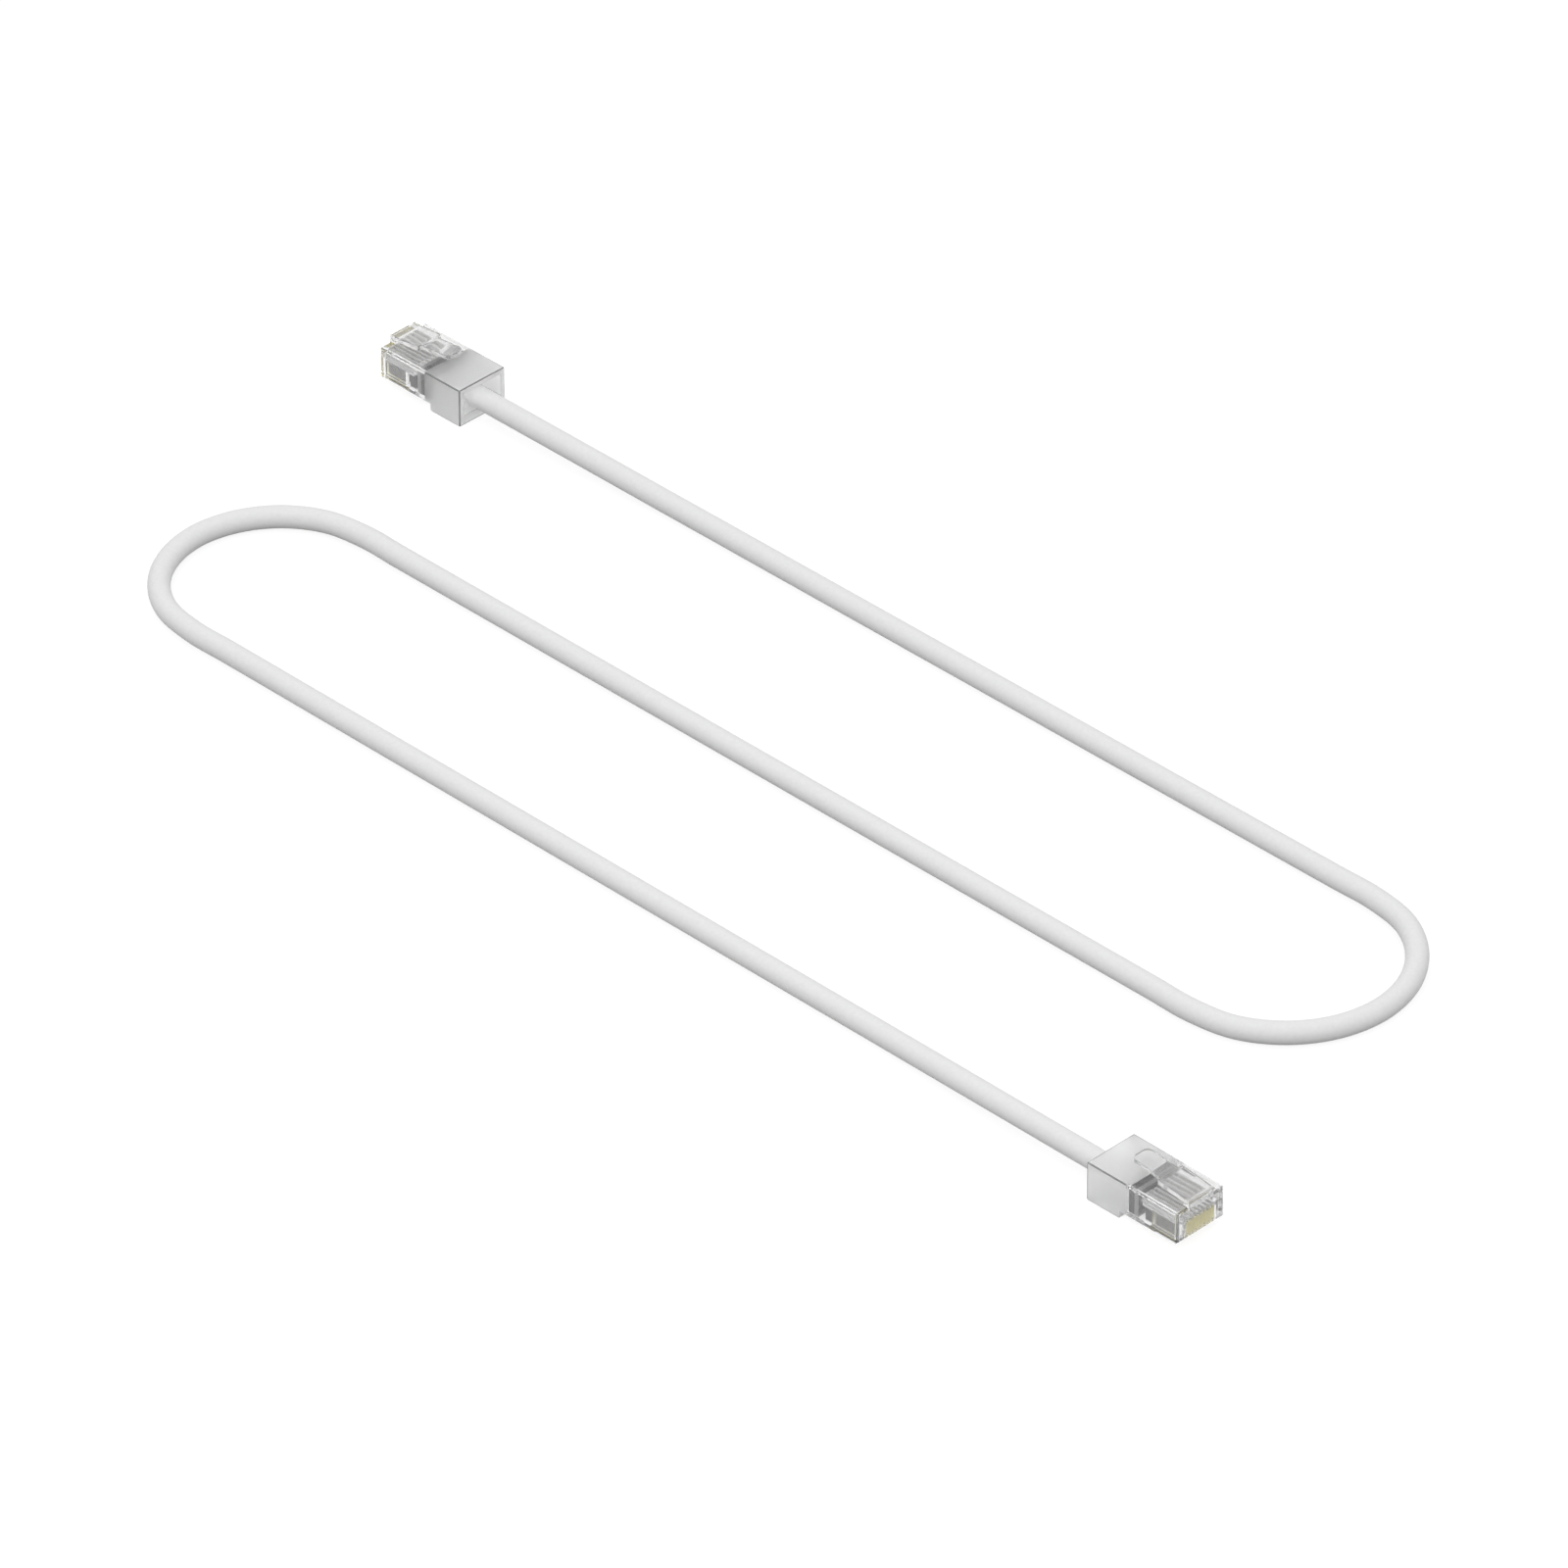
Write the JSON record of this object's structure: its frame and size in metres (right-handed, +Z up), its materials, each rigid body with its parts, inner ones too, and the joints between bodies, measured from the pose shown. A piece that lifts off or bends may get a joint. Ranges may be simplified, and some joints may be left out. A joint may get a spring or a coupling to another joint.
{
  "type": "ethernet patch cable",
  "caption": "Slim white network patch cord laid in an S on the floor, with a clear modular plug and a sprung latch on each end.",
  "frame": {"origin": "on the floor, midway between the two plugs", "axes": "+X along the cord's long runs, from plug a's nose towards plug b's nose; +Y towards plug a's run; +Z up, the latches' side"},
  "size_m": [0.2922, 0.1024, 0.0108],
  "materials": {
    "jacket": "satin white PVC",
    "clear_shell": "clear moulded polycarbonate, glossy",
    "clear_latch": "clear moulded polycarbonate, glossy",
    "clear_bar": "clear moulded polycarbonate, glossy",
    "smoky_clamp": "translucent grey plastic, glossy",
    "smoky_guide": "translucent grey plastic, glossy",
    "clear_clamp": "clear moulded polycarbonate, glossy",
    "copper": "drawn copper",
    "gold": "gold-plated phosphor bronze",
    "insulation": "matte white insulation"
  },
  "bodies": {
    "cord": {"cord_jacket": "jacket", "plug_shell_a": "clear_shell", "plug_shell_b": "clear_shell", "load_bar_a": "clear_bar", "load_bar_b": "clear_bar", "conductor_clamp_a": "smoky_clamp", "conductor_clamp_b": "smoky_clamp", "wire_guide_a": "smoky_guide", "wire_guide_b": "smoky_guide", "jacket_clamp_a": "clear_clamp", "jacket_clamp_b": "clear_clamp", "copper_cores_a": "copper", "copper_cores_b": "copper", "contact_a1": "gold", "contact_a2": "gold", "contact_a3": "gold", "contact_a4": "gold", "contact_a5": "gold", "contact_a6": "gold", "contact_a7": "gold", "contact_a8": "gold", "contact_b1": "gold", "contact_b2": "gold", "contact_b3": "gold", "contact_b4": "gold", "contact_b5": "gold", "contact_b6": "gold", "contact_b7": "gold", "contact_b8": "gold", "conductor_a1": "insulation", "conductor_a2": "insulation", "conductor_a3": "insulation", "conductor_a4": "insulation", "conductor_a5": "insulation", "conductor_a6": "insulation", "conductor_a7": "insulation", "conductor_a8": "insulation", "conductor_b1": "insulation", "conductor_b2": "insulation", "conductor_b3": "insulation", "conductor_b4": "insulation", "conductor_b5": "insulation", "conductor_b6": "insulation", "conductor_b7": "insulation", "conductor_b8": "insulation"},
    "latch_a": {"latch_a": "clear_latch"},
    "latch_b": {"latch_b": "clear_latch"}
  },
  "joints": [
    {"name": "latch_a_press", "type": "hinge", "parent": "cord", "child": "latch_a", "pos_m": [-0.14522, 0.0453, 0.009], "axis": [0, 1, 0], "range_deg": [0, 7], "stiffness_Nm_per_rad": 0.4},
    {"name": "latch_b_press", "type": "hinge", "parent": "cord", "child": "latch_b", "pos_m": [0.14522, -0.0453, 0.009], "axis": [0, -1, 0], "range_deg": [0, 7], "stiffness_Nm_per_rad": 0.4}
  ]
}
